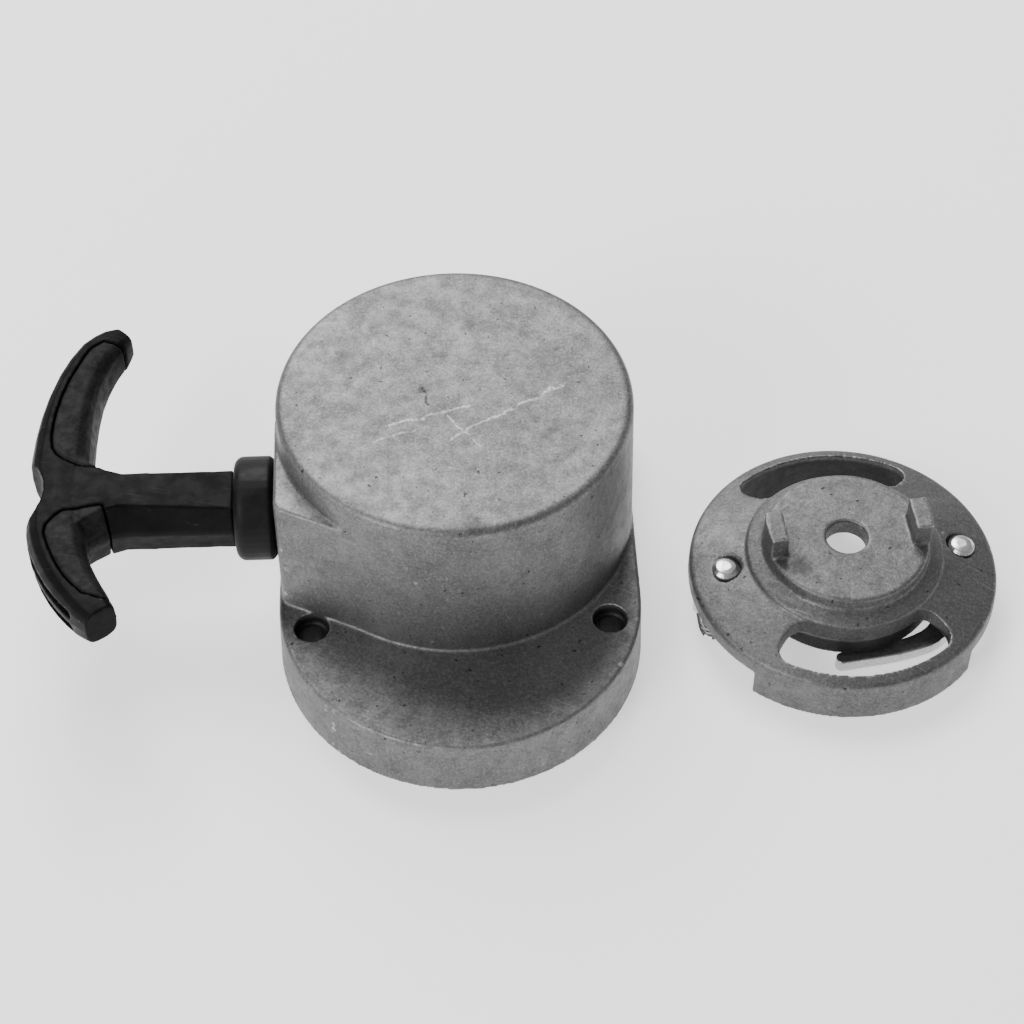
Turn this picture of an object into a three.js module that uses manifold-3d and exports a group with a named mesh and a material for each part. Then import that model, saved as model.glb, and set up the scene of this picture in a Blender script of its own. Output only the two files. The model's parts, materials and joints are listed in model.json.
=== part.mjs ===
// Recoil starter: a die-cast can with a long mounting flange, a T-handle on a rope,
// the spring-wound rope pulley inside the can, and the loose drive hub with its two pawls.
// Millimetres, +Z up, everything resting on Z = 0. The pieces are drawn about the can's axis
// and the finished layout is moved by CENTRE so that its footprint is centred on the origin.
// The handle leaves the can toward -X; the drive hub stands lugs-up at +X.
import * as THREE from 'three';
import { mergeVertices } from 'three/addons/utils/BufferGeometryUtils.js';
import Module from 'manifold-3d';

// ---- driving dimensions ----

const GAP = 0.3;                 // clearance between pieces that touch in the real thing
const CENTRE = [-15.4, 14.8, 0];

const CAN = {
  height: 60, topRadius: 44, footRadius: 45, edge: 2.1, wall: 3.4, roof: 4, coreEdge: 3,
};
const FLANGE = {
  thickness: 16.4, halfWidth: 45, noseRadius: 45.3, noseY: -29, cornerRadius: 8.5, cornerY: 36.5,
  plate: 4.6, rim: 5, draft: 0.011, edge: 0.7,
};
const BOLT = { x: 37.1, y: 36.4, hole: 7.4, counterbore: 8.8, depth: 3.6, bossRadius: 7 };
const OUTLET = {                 // the squarish boss the rope leaves through
  left: -44.6, back: 2, frontLeftY: -28.4, tangentX: -23.5, tangentY: -38.6,
  top: 51.7, wall: 3.6, corner: 3.8, edge: 0.9, lean: 1.3,
};
const ROPE = {
  radius: 1.8, y: -11.9, z: 34, pitch: 4, layer: 3.9, firstLayer: 24, turns: 6, lastTurn: 0.8,
  exit: 240.5,                   // bearing at which the wound rope leaves the pulley
};
const EYELET = { body: 4.4, flange: 6.2, bore: 2.5, lip: 1.6, face: OUTLET.left + 0.4 };
const POST = { radius: 7, bottom: 23, screwHole: 4.2 };
const PULLEY = {
  bore: 8.8, hub: 13, root: 21.9, outer: 36.4, bottom: 27.4, top: 40.2, groove: [29.6, 38.4],
};
const CUP = { radius: 22, wall: 2, bottom: 12, top: PULLEY.bottom - GAP, windows: 6 };
const SPRING = { inner: 9.6, outer: 35.4, thickness: 0.5, turns: 6, bottom: 42.2, top: 53.2 };
const CASE = { radius: 37.6, wall: 0.9, bottom: 41.2, top: 55.5, hole: POST.radius + 0.8 };
const CUP_SCREW = { radius: 16.4, head: 2.6, shank: 1.1, length: 8.4, count: 3 };
const CENTRE_SCREW = { head: 4.6, headHeight: 3.4, shank: 1.9, length: 14, slot: 1.2, slotDepth: 1.6 };
const RETAINER = { radius: 11.5, thickness: 1.6 };

const STEM = { end: -55.4, spigot: 6, spigotLength: 8, bore: 2.5 };
const COLLAR = { radius: 13, length: 9.9, edge: 2.4, face: -45.2, lip: 1 };
const SCALLOP = { x: -115.3, y: -10.9, radius: 13.4 };
const KNOT = { x: -98.6, pocket: 5.6, washer: 5.2, washerThickness: 1.2 };
// Grip spine from the rear tip to the front tip: x, y, z, width, height.
const GRIP = [
  [-84.8, 40.7, 40.2, 6, 8],
  [-87.2, 38.2, 39.9, 8.8, 11],
  [-91.3, 33.8, 39.2, 10.6, 13.2],
  [-95.6, 25.0, 37.4, 12, 15],
  [-98.0, 13.5, 35.8, 13.8, 16.6],
  [-98.8, 1.0, 34.8, 15, 17.6],
  [-99.0, -11.0, 34.2, 14.6, 18],
  [-98.4, -22.5, 34.8, 15, 17.6],
  [-96.0, -32.5, 36, 13.2, 16.6],
  [-92.2, -41.0, 37.8, 11.8, 15],
  [-88.2, -47.6, 39.2, 10.4, 13.2],
  [-85.2, -51.8, 40.2, 8.4, 10.8],
];
// The grooves around the two pads, in plan, from the stem outward along the back of the grip.
const PAD = {
  depth: 2.6,
  rear: {
    root: [[-89.2, -4.3]],
    back: [[-92.2, -3.9], [-97.9, -1.4], [-100.7, 3], [-100.5, 12.4], [-98, 23], [-93.2, 33.4]],
    tip: [[-89.5, 36.3], [-70, 30]],
    inside: [[-70, -4.3]],
  },
  front: {
    root: [[-83.5, -25.9], [-84.5, -23.3], [-87.1, -16.5]],
    back: [[-96.8, -18.2], [-100.6, -23.3], [-99.6, -28.7], [-97, -35.3], [-93.9, -40.9], [-89.8, -45.9]],
    tip: [[-84.5, -47.9], [-70, -40]],
    inside: [[-70, -28]],
  },
};

const HUB = {
  x: 97.9, y: -18.3, turn: 4.8, height: 23.6, boreRadius: 5.2, discRadius: 20.7, ringRadius: 24.9,
  ringInner: 20.3, ringOuter: 18.2, coneTop: 17.5, rimRadius: 39.2, rimTop: 12.6, rimBottom: 7.7,
  cupRadius: 20.5, cupWallBottom: 7, ceiling: 18.4, shell: 4.7, skirtInner: 35.7, skirtHalfAngle: 45,
  facets: 56,
};
const SLOT = { inner: 25, outer: 35.9, halfAngle: 41, corner: 4.2 };
const LUG = { inner: 16.2, outer: 20.9, halfWidth: 4.8, top: 30.4 };
const PIN = { radius: 30.5, shank: 2.4, head: 3.45, recess: 4.1, headTop: 16.4, boss: 6.4 };
const PAWL = {
  bottom: 3, top: 6.6, eye: 5.6, root: 4.2, tip: 1.75, tail: { x: 6.6, y: 2.6, radius: 1.7 },
  swing: [[0, 0], [-9.1, -19], [-17, -22.8], [-35.1, -25]],
};
const COIL = {
  bearing: 15, radius: 35.6, mean: 3.1, wire: 0.45, turns: 4, rise: 1.02, leg: 6.6, bottom: 2.4, stud: 2.2,
};

// ---- materials ----

const finish = (color, metalness, roughness) =>
  new THREE.MeshStandardMaterial({ color, metalness, roughness });
const MATERIAL = {
  casting: finish(0x9b9b98, 0.85, 0.5),
  hubCasting: finish(0x8d8c89, 0.85, 0.5),
  steel: finish(0xb9bbbd, 1, 0.28),
  springSteel: finish(0x6b6f74, 1, 0.35),
  nylon: finish(0x18181a, 0, 0.55),
  rubber: finish(0x101011, 0, 0.85),
  rope: finish(0xd8d4c6, 0, 0.9),
  pulleyPlastic: finish(0x2b2d30, 0, 0.5),
  bronze: finish(0xa97c43, 1, 0.35),
};

// ---- solids ----

const wasm = await Module();
wasm.setup();

// A closed three.js geometry as a solid: welded, slivers dropped, faces turned outward.
function solid(geometry) {
  const bare = new THREE.BufferGeometry();
  bare.setAttribute('position', geometry.getAttribute('position'));
  if (geometry.index) bare.setIndex(geometry.index);
  const welded = mergeVertices(bare, 1e-4);
  const points = welded.getAttribute('position');
  const corner = [new THREE.Vector3(), new THREE.Vector3(), new THREE.Vector3()];
  const faces = [];
  let volume = 0;
  for (let i = 0; i < welded.index.count; i += 3) {
    const ids = [0, 1, 2].map((k) => welded.index.getX(i + k));
    if (new Set(ids).size < 3) continue;
    ids.forEach((id, k) => corner[k].fromBufferAttribute(points, id));
    volume += corner[0].dot(corner[1].clone().cross(corner[2]));
    faces.push(ids);
  }
  const turned = volume < 0 ? faces.map(([a, b, c]) => [a, c, b]) : faces;
  return new wasm.Manifold(new wasm.Mesh({
    numProp: 3,
    vertProperties: new Float32Array(points.array),
    triVerts: new Uint32Array(turned.flat()),
  }));
}

const join = (...parts) => parts.flat().reduce((sum, part) => sum.add(part));
const cut = (body, ...tools) => tools.flat().reduce((rest, tool) => rest.subtract(tool), body);

// Revolves a profile of [radius, z] pairs about the Z axis.
function revolve(profile, segments = 48) {
  const points = profile.map(([r, z]) => new THREE.Vector2(r, z));
  return solid(new THREE.LatheGeometry(points, segments).rotateX(Math.PI / 2));
}

// A ring of rectangular section, or a disc when the inner radius is zero.
function ring(inner, outer, z0, z1, segments = 32) {
  return revolve([[inner, z0], [outer, z0], [outer, z1], [inner, z1], [inner, z0]], segments);
}

const disc = (radius, z0, z1, segments = 28) =>
  revolve([[0, z0], [radius, z0], [radius, z1], [0, z1]], segments);

function shapeOf(outline) {
  return new THREE.Shape(outline.map(([x, y]) => new THREE.Vector2(x, y)));
}

function prism(outline, z0, z1) {
  const geometry = new THREE.ExtrudeGeometry(shapeOf(outline), { depth: z1 - z0, bevelEnabled: false });
  return solid(geometry.translate(0, 0, z0));
}

// A prism whose upper edge is rounded off by the given radius.
function roundedPrism(outline, z0, z1, edge) {
  const geometry = new THREE.ExtrudeGeometry(shapeOf(outline), {
    depth: z1 - z0, bevelThickness: edge, bevelSize: edge, bevelOffset: -edge, bevelSegments: 2,
  });
  const block = solid(geometry.translate(0, 0, z0 - edge));
  return block.intersect(box(-200, 200, -200, 200, z0, z1));
}

function box(x0, x1, y0, y1, z0, z1) {
  const geometry = new THREE.BoxGeometry(x1 - x0, y1 - y0, z1 - z0);
  return solid(geometry.translate((x0 + x1) / 2, (y0 + y1) / 2, (z0 + z1) / 2));
}

// Skins a run of equal rings of points and closes both ends with a fan.
function loft(rings) {
  const count = rings[0].length;
  const points = rings.flat();
  const faces = [];
  for (let i = 0; i + 1 < rings.length; i += 1) {
    for (let j = 0; j < count; j += 1) {
      const a = i * count + j;
      const b = i * count + ((j + 1) % count);
      faces.push(a, b, b + count, a, b + count, a + count);
    }
  }
  for (const [start, flip] of [[0, true], [(rings.length - 1) * count, false]]) {
    for (let j = 1; j + 1 < count; j += 1) {
      faces.push(start, start + (flip ? j + 1 : j), start + (flip ? j : j + 1));
    }
  }
  const geometry = new THREE.BufferGeometry().setFromPoints(points);
  geometry.setIndex(faces);
  return solid(geometry);
}

// A round bar swept along a smooth path through the given points.
function rod(points, radius, steps, sides = 8) {
  const path = new THREE.CatmullRomCurve3(points, false, 'centripetal');
  const section = new THREE.Shape();
  for (let i = 0; i < sides; i += 1) {
    const angle = (i / sides) * 2 * Math.PI;
    const point = [radius * Math.cos(angle), radius * Math.sin(angle)];
    if (i === 0) section.moveTo(...point);
    else section.lineTo(...point);
  }
  section.closePath();
  return solid(new THREE.ExtrudeGeometry(section, { steps, extrudePath: path }));
}

const polar = (radius, degrees) => {
  const angle = THREE.MathUtils.degToRad(degrees);
  return [radius * Math.cos(angle), radius * Math.sin(angle)];
};

// Points of an arc from one angle to another, both ends included.
function arc(radius, from, to, steps, cx = 0, cy = 0) {
  return Array.from({ length: steps + 1 }, (_, i) => {
    const [x, y] = polar(radius, from + ((to - from) * i) / steps);
    return [cx + x, cy + y];
  });
}

const around = (part, count, start = 0) =>
  Array.from({ length: count }, (_, i) => part.rotate([0, 0, start + (i * 360) / count]));

// ---- housing ----

function flangeOutline(inset = 0) {
  const { halfWidth, noseRadius, noseY, cornerRadius, cornerY } = FLANGE;
  const corner = cornerRadius - inset;
  const centreX = halfWidth - cornerRadius;
  return [
    ...arc(noseRadius - inset, -180, 0, 36, 0, noseY),
    ...arc(corner, 0, 90, 4, centreX, cornerY),
    ...arc(corner, 90, 180, 4, -centreX, cornerY),
  ];
}

// Spreads a casting wall outward toward its foot so it would leave the die.
function drafted(part) {
  return part.warp((point) => {
    const spread = 1 + FLANGE.draft * (1 - point[2] / FLANGE.thickness);
    point[0] *= spread;
    point[1] *= spread;
  });
}

function canOuter() {
  const { height, topRadius, footRadius, edge } = CAN;
  const rounded = arc(edge, 0, 90, 4, topRadius - edge, height - edge);
  return revolve([[0, 4], [footRadius, 4], [footRadius, FLANGE.thickness], ...rounded, [0, height]], 60);
}

function canCore() {
  const { height, topRadius, footRadius, wall, roof, coreEdge } = CAN;
  const roofZ = height - roof;
  const inner = topRadius - wall;
  const rounded = arc(coreEdge, 0, 90, 2, inner - coreEdge, roofZ - coreEdge);
  return revolve([[0, -1], [footRadius - wall, -1], ...rounded, [0, roofZ]], 60);
}

function outletOutline(inset = 0) {
  const { left, back, frontLeftY, tangentX, tangentY, corner } = OUTLET;
  const slope = THREE.MathUtils.radToDeg(Math.atan2(tangentY - frontLeftY, tangentX - left));
  const bend = arc(corner - Math.min(inset, corner - 0.4), 180, 270 + slope, 5,
    left + corner, frontLeftY + corner * 0.62);
  return [
    [left + inset, back], ...bend,
    [tangentX, tangentY + inset * 1.1], [tangentX + 8, tangentY + 12], [-10, back],
  ];
}

// Leans the front wall of the rope outlet back toward its top.
function leaned(part) {
  return part.warp((point) => {
    if (point[1] < 0) point[1] += (OUTLET.lean * point[2]) / OUTLET.top;
  });
}

// The pocket under the flange nose, leaving the rim, the can wall and the bolt bosses.
function flangePocket() {
  const depth = FLANGE.thickness - FLANGE.plate;
  const can = disc(CAN.footRadius, -2, depth + 1, 60);
  const bosses = boltPlaces().map(([x, y]) => disc(BOLT.bossRadius, -2, depth + 1, 20).translate([x, y, 0]));
  const nose = prism(flangeOutline(FLANGE.rim), -1, depth).intersect(box(-60, 60, -90, 0, -1, depth));
  return cut(nose, can, bosses);
}

function boltPlaces() {
  return [[1, 1], [-1, 1], [-1, -1], [1, -1]].map(([sx, sy]) => [sx * BOLT.x, sy * BOLT.y]);
}

function housing() {
  const { thickness } = FLANGE;
  const outlet = leaned(roundedPrism(outletOutline(), 4, OUTLET.top, OUTLET.edge));
  const shell = join(
    drafted(roundedPrism(flangeOutline(), 0, thickness, FLANGE.edge)), canOuter(), outlet,
  );
  const outletCore = leaned(prism(outletOutline(OUTLET.wall), 5, OUTLET.top - OUTLET.wall));
  const holes = boltPlaces().flatMap(([x, y]) => [
    disc(BOLT.hole / 2, -1, thickness + 1, 20).translate([x, y, 0]),
    disc(BOLT.counterbore / 2, thickness - BOLT.depth, thickness + 1, 20).translate([x, y, 0]),
  ]);
  const ropeHole = disc(EYELET.body + 0.15, -8, 8, 24).rotate([0, 90, 0])
    .translate([OUTLET.left, ROPE.y, ROPE.z]);
  const post = cut(
    disc(POST.radius, POST.bottom, CAN.height - CAN.roof + 1, 24),
    disc(POST.screwHole / 2, POST.bottom - 1, POST.bottom + 14, 16),
  );
  return join(cut(shell, canCore(), outletCore, flangePocket(), holes, ropeHole), post);
}

// ---- rope outlet, spring and centre screw ----

// A turned steel bush; its flange sits inside the outlet wall.
function ropeEyelet() {
  const { body, flange, bore, lip } = EYELET;
  const length = OUTLET.wall + 0.1;
  const bell = arc(lip, 180, 90, 4, bore + lip, length);
  const profile = [
    [bore, 0.5], [bore + 0.5, 0], [body, 0], [body, length + 0.1], [flange, length + 0.1],
    [flange, length + lip], ...bell.reverse(), [bore, 0.5],
  ];
  return revolve(profile, 24).rotate([0, 90, 0]).translate([EYELET.face, ROPE.y, ROPE.z]);
}

// A flat strip wound in a plane spiral, both ends bent into hooks.
function recoilSpring() {
  const { inner, outer, thickness, turns, bottom, top } = SPRING;
  const steps = turns * 20;
  const centre = Array.from({ length: steps + 1 }, (_, i) => {
    const share = i / steps;
    return polar(inner + (outer - inner) * share, 360 * turns * share);
  });
  const [endX, endY] = centre[steps];
  centre.push([endX - 2.4, endY + 2.2], [endX - 4.6, endY + 1.2]);
  const [startX] = centre[0];
  centre.unshift([startX - 1.3, -2.2]);
  const side = (sign) => centre.map(([x, y], i) => {
    const [ax, ay] = centre[Math.max(0, i - 1)];
    const [bx, by] = centre[Math.min(centre.length - 1, i + 1)];
    const run = Math.hypot(bx - ax, by - ay);
    return [x - (sign * thickness * (by - ay)) / run / 2, y + (sign * thickness * (bx - ax)) / run / 2];
  });
  return prism([...side(1), ...side(-1).reverse()], bottom, top);
}

// A shallow pressed cup that keeps the spring off the pulley.
function springCase() {
  const { radius, wall, bottom, top, hole } = CASE;
  return revolve([
    [hole, bottom], [radius, bottom], [radius, top], [radius - wall, top],
    [radius - wall, bottom + wall], [hole, bottom + wall], [hole, bottom],
  ]);
}

function retainerWasher() {
  const top = POST.bottom - GAP;
  return ring(POST.screwHole / 2 + 0.4, RETAINER.radius, top - RETAINER.thickness, top, 24);
}

// A pan-head screw with a cross slot, driven up into the post.
function centreScrew() {
  const { head, headHeight, shank, length, slot, slotDepth } = CENTRE_SCREW;
  const seat = POST.bottom - 2 * GAP - RETAINER.thickness;
  const low = seat - headHeight;
  const body = revolve([
    [0, low], [head - 1.2, low], [head - 0.3, low + 0.8], [head, seat],
    [shank, seat], [shank, seat + length], [0, seat + length],
  ], 24);
  const blade = box(-head * 0.7, head * 0.7, -slot / 2, slot / 2, low - 1, low + slotDepth);
  return cut(body, blade, blade.rotate([0, 0, 90]));
}

// ---- pulley group ----

function pulley() {
  const { bore, hub, root, outer, bottom, top, groove } = PULLEY;
  const lip = 0.8;
  const body = revolve([
    [bore, bottom - 2], [hub, bottom - 2], [hub, bottom], [outer - lip, bottom], [outer, bottom + lip],
    [outer, groove[0] - 0.2], [root, groove[0]], [root, groove[1]], [outer, groove[1] + 0.2],
    [outer, top - lip], [outer - lip, top], [bore, top], [bore, bottom - 2],
  ]);
  const screwHole = disc(CUP_SCREW.shank + 0.2, bottom - 3, bottom + 8, 12);
  const screwHoles = around(screwHole.translate([CUP_SCREW.radius, 0, 0]), CUP_SCREW.count);
  const knotPocket = disc(3.2, groove[0] - 1.6, top + 1, 20).translate(KNOT_IN_PULLEY);
  const ropeDoor = box(root - 3.5, root + 1, -2.2, 2.2, groove[0] + 0.6, groove[0] + 5)
    .rotate([0, 0, ROPE_ANCHOR]);
  return cut(body, screwHoles, knotPocket, ropeDoor);
}

const ROPE_ANCHOR = ROPE.exit + 360 * ROPE.lastTurn;
const KNOT_IN_PULLEY = [...polar(PULLEY.root - 5, ROPE_ANCHOR), 0];

// The rope wound in three layers; each turn steps across or up within its last few degrees.
function ropeCoil() {
  const { radius, z, pitch, layer, firstLayer, turns, lastTurn } = ROPE;
  const side = [-1, 1, 1, -1, -1, 1];
  const perTurn = 20;
  const points = [];
  for (let turn = 0; turn < turns; turn += 1) {
    const last = turn === turns - 1;
    const wound = last ? lastTurn : 1;
    const here = [firstLayer + layer * Math.floor(turn / 2), side[turn]];
    const next = [firstLayer + layer * Math.floor((turn + 1) / 2), side[Math.min(turn + 1, turns - 1)]];
    for (let i = 0; i < perTurn * wound + last; i += 1) {
      const share = i / perTurn;
      const blend = last ? 0 : THREE.MathUtils.smoothstep(share, 0.8, 1);
      const reach = THREE.MathUtils.lerp(here[0], next[0], blend);
      const [x, y] = polar(reach, ROPE_ANCHOR - 360 * (turn + share));
      const level = z + (THREE.MathUtils.lerp(here[1], next[1], blend) * pitch) / 2;
      points.push(new THREE.Vector3(x, y, level));
    }
  }
  return rod(points, radius, 112, 6);
}

function anchorKnot() {
  const [x, y] = KNOT_IN_PULLEY;
  return knot(2.7).translate([x, y, ROPE.z + 0.6]);
}

// A simple overhand knot as one lumpy closed body.
function knot(size) {
  const lump = (x, y, z, radius) =>
    solid(new THREE.SphereGeometry(size * radius, 9, 6).translate(size * x, size * y, size * z));
  return join(
    lump(0, 0, 0, 0.78), lump(0.4, 0, 0.3, 0.6), lump(-0.35, 0.25, 0.2, 0.6), lump(0, -0.35, -0.3, 0.62),
  );
}

function pulleyBush() {
  return ring(POST.radius + 0.2, PULLEY.bore - 0.1, PULLEY.bottom - 2, PULLEY.top);
}

// A pressed cup with square windows the pawls hook into.
function ratchetCup() {
  const { radius, wall, bottom, top, windows } = CUP;
  const inner = PULLEY.hub + 0.3;
  const body = revolve([
    [inner, top], [radius, top], [radius, bottom], [radius - wall, bottom],
    [radius - wall, top - wall], [inner, top - wall], [inner, top],
  ]);
  const holes = around(box(radius - 4, radius + 1, -4, 4, bottom + 3, top - 5), windows);
  const screwHole = disc(CUP_SCREW.shank + 0.6, top - 4, top + 1, 12);
  const screwHoles = around(screwHole.translate([CUP_SCREW.radius, 0, 0]), CUP_SCREW.count);
  return cut(body, holes, screwHoles);
}

function cupScrew(index) {
  const { radius, head, shank, length, count } = CUP_SCREW;
  const seat = CUP.top - CUP.wall - GAP / 3;
  const body = revolve([
    [0, seat - 2], [head - 0.6, seat - 2], [head, seat - 1.2], [head, seat],
    [shank, seat], [shank, seat + length], [0, seat + length],
  ], 14);
  return body.translate([radius, 0, 0]).rotate([0, 0, (index * 360) / count]);
}

// ---- handle ----

// A rounded section across the spine: flat enough on top to hold its plan outline.
function section(centre, sideways, width, height, power = 3.4, count = 16) {
  return Array.from({ length: count }, (_, i) => {
    const angle = (i / count) * 2 * Math.PI;
    const round = (value) => Math.sign(value) * Math.abs(value) ** (2 / power);
    return new THREE.Vector3()
      .copy(centre)
      .addScaledVector(sideways, (width / 2) * round(Math.cos(angle)))
      .add(new THREE.Vector3(0, 0, (height / 2) * round(Math.sin(angle))));
  });
}

// The grip bar, shrunk all round by an inset when it serves as the core under the pads.
function gripBar(inset = 0) {
  const path = new THREE.CatmullRomCurve3(GRIP.map(([x, y, z]) => new THREE.Vector3(x, y, z)));
  const sizes = new THREE.CatmullRomCurve3(GRIP.map(([, , , w, h]) => new THREE.Vector3(w, h, 0)));
  const stations = 22;
  const start = inset / 60;
  return loft(Array.from({ length: stations + 1 }, (_, i) => {
    const share = THREE.MathUtils.lerp(start, 1 - start, i / stations);
    const tangent = path.getTangent(share);
    const sideways = new THREE.Vector3(tangent.y, -tangent.x, 0).normalize();
    const size = sizes.getPoint(share);
    return section(path.getPoint(share), sideways, size.x - 2 * inset, size.y - 2 * inset);
  }));
}

// The stem: eight-sided, widening into the grip bar.
function stem() {
  const stations = [
    [STEM.end, 7.6, 6.2, 7.5], [-70, 7.4, 5.6, 8.2], [-83, 7.4, 5.2, 8.8], [-87, 8.6, 6.4, 9],
    [-90.5, 11, 8.6, 9], [-94, 14, 11.6, 8.8], [-98, 15, 13, 8.6],
  ];
  const parting = 0.8;
  const rings = stations.map(([x, side, flat, half]) => [
    [side, parting], [flat, half], [-flat, half], [-side, parting],
    [-side, -parting], [-flat, -half], [flat, -half], [side, -parting],
  ].map(([y, z]) => new THREE.Vector3(x, ROPE.y + y, ROPE.z + z)));
  return loft(rings);
}

const alongX = (part, x) => part.rotate([0, 90, 0]).translate([x, ROPE.y, ROPE.z]);

// Moves every edge of a closed outline outward by the given distance.
function grown(outline, distance) {
  const area = outline.reduce((sum, [x, y], i) => {
    const [nextX, nextY] = outline[(i + 1) % outline.length];
    return sum + x * nextY - nextX * y;
  }, 0);
  const normal = ([ax, ay], [bx, by]) => {
    const run = Math.hypot(bx - ax, by - ay) * Math.sign(area);
    return [(by - ay) / run, (ax - bx) / run];
  };
  return outline.map((point, i) => {
    const [ax, ay] = normal(outline.at(i - 1), point);
    const [bx, by] = normal(point, outline[(i + 1) % outline.length]);
    const reach = distance / (1 + ax * bx + ay * by);
    return [point[0] + (ax + bx) * reach, point[1] + (ay + by) * reach];
  });
}

// The block a pad is cut from: its back edge runs smoothly, the finger side is left open.
function padBlock({ root, back, tip, inside }, grow) {
  const curve = new THREE.SplineCurve(back.map(([x, y]) => new THREE.Vector2(x, y)));
  const smooth = curve.getPoints(11).map(({ x, y }) => [x, y]);
  return prism(grown([...root, ...smooth, ...tip, ...inside], grow), 10, 60);
}

// Long narrow slots along the back of both arms, two above each other.
function backSlots() {
  const path = new THREE.CatmullRomCurve3(GRIP.map(([x, y, z]) => new THREE.Vector3(x, y, z)));
  const sizes = new THREE.CatmullRomCurve3(GRIP.map(([, , , w]) => new THREE.Vector3(w, 0, 0)));
  const steps = 6;
  const run = (from, to, level) => loft(Array.from({ length: steps + 1 }, (_, i) => {
    const share = THREE.MathUtils.lerp(from, to, i / steps);
    const tangent = path.getTangent(share);
    const back = new THREE.Vector3(tangent.y, -tangent.x, 0).normalize();
    if (back.x > 0) back.negate();
    const centre = path.getPoint(share).addScaledVector(back, sizes.getPoint(share).x / 2 - 1.2);
    centre.z += level;
    return section(centre, back, 5, 2.4, 6, 8);
  }));
  return [-2.6, 2.2].flatMap((level) => [run(0.14, 0.4, level), run(0.64, 0.9, level)]);
}

function handleBody() {
  const bar = cut(join(gripBar(), stem()), padBlock(PAD.rear, GAP / 2), padBlock(PAD.front, GAP / 2));
  const scallop = disc(SCALLOP.radius, -30, 30, 40).translate([SCALLOP.x, SCALLOP.y, ROPE.z]);
  const spigot = alongX(disc(STEM.spigot, -1, STEM.spigotLength, 24), STEM.end);
  const solidBody = join(bar, gripBar(PAD.depth + GAP), spigot);
  const bore = alongX(disc(STEM.bore, -60, 12, 16), STEM.end);
  const pocket = alongX(disc(KNOT.pocket, -30, 0, 24), KNOT.x + 6);
  return cut(solidBody, scallop, bore, pocket, backSlots());
}

function gripPad(pad) {
  return cut(join(gripBar(), stem()).intersect(padBlock(pad, -GAP / 2)), gripBar(PAD.depth));
}

// The round rubber buffer the handle parks against the can with.
function handleCollar() {
  const { radius, length, edge, lip } = COLLAR;
  const rounded = arc(edge, 0, -90, 4, radius - edge, edge);
  const socket = [STEM.spigot + GAP, STEM.spigotLength + GAP];
  const profile = [
    [STEM.bore, length], [radius - lip, length], [radius, length - lip], ...rounded,
    [socket[0], 0], socket, [STEM.bore, socket[1]], [STEM.bore, length],
  ];
  const notch = box(-1.2, 1.2, -radius - 1, -radius + 1.2, edge, length - 3).rotate([0, 0, 65]);
  return alongX(cut(revolve(profile, 40), notch), COLLAR.face - length);
}

function knotWasher() {
  const { washer, washerThickness } = KNOT;
  return alongX(ring(ROPE.radius + 0.5, washer, -washerThickness, 0, 24), KNOT.x + 6 - GAP);
}

const ropeKnot = () => knot(4).translate([KNOT.x + 0.6, ROPE.y, ROPE.z]);

// The rope from the pulley through the eyelet to the knot in the handle.
function ropeRun() {
  const coilRadius = ROPE.firstLayer + 2 * ROPE.layer;
  const [startX, startY] = polar(coilRadius, ROPE.exit);
  const level = ROPE.z + ROPE.pitch / 2;
  const heading = new THREE.Vector3(...polar(1, ROPE.exit - 90), 0);
  const start = new THREE.Vector3(startX, startY, level).addScaledVector(heading, GAP + 0.1);
  const points = [
    start, start.clone().addScaledVector(heading, 9),
    new THREE.Vector3(EYELET.face + 9, ROPE.y - 2.4, ROPE.z + 0.6),
    new THREE.Vector3(EYELET.face + 2, ROPE.y, ROPE.z),
    new THREE.Vector3(COLLAR.face - 3, ROPE.y, ROPE.z), new THREE.Vector3(STEM.end - 16, ROPE.y, ROPE.z),
    new THREE.Vector3(KNOT.x + 5.2, ROPE.y, ROPE.z),
  ];
  return rod(points, ROPE.radius, 30, 8);
}

// ---- drive hub ----

function hubShell() {
  const {
    height, boreRadius, discRadius, ringRadius, ringInner, ringOuter, coneTop, rimRadius, rimTop, rimBottom,
    cupRadius, cupWallBottom, ceiling, shell, skirtInner, facets,
  } = HUB;
  const edge = arc(1.3, 75, 0, 2, rimRadius - 1.3, rimTop - 1.3);
  return revolve([
    [boreRadius, ceiling], [boreRadius, height - 0.4], [boreRadius + 0.4, height], [discRadius - 0.5, height],
    [discRadius, height - 0.5], [discRadius + 0.3, ringInner], [ringRadius, ringOuter], [ringRadius, coneTop],
    ...edge, [rimRadius + 0.1, rimBottom], [skirtInner, rimBottom], [skirtInner - 0.6, rimTop - shell + 1],
    [ringRadius - 0.5, coneTop - shell], [ringRadius - 0.5, cupWallBottom], [cupRadius, cupWallBottom],
    [cupRadius, ceiling], [boreRadius, ceiling],
  ], facets);
}

// A sector of a ring between two bearings, centred on the given bearing.
function sector(inner, outer, z0, z1, centre, halfAngle, steps = 12) {
  const outline = [
    ...arc(outer, centre - halfAngle, centre + halfAngle, steps),
    ...arc(inner, centre + halfAngle, centre - halfAngle, steps),
  ];
  return prism(outline, z0, z1);
}

// A curved slot through the plate with rounded corners; its outer wall runs down the skirt.
function plateSlot(centre) {
  const { inner, outer, halfAngle, corner } = SLOT;
  const [low, high] = [-1, HUB.height];
  const turn = THREE.MathUtils.radToDeg(corner / (outer - corner));
  const innerTurn = THREE.MathUtils.radToDeg(corner / (inner + corner));
  const corners = [
    [outer - corner, halfAngle - turn], [outer - corner, turn - halfAngle],
    [inner + corner, innerTurn - halfAngle], [inner + corner, halfAngle - innerTurn],
  ].map(([radius, bearing]) => disc(corner, low, high, 16).translate([...polar(radius, centre + bearing), 0]));
  return join(
    sector(inner, outer, low, high, centre, halfAngle - innerTurn), corners,
    sector(inner + corner, outer - corner, low, high, centre, halfAngle),
  );
}

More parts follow.
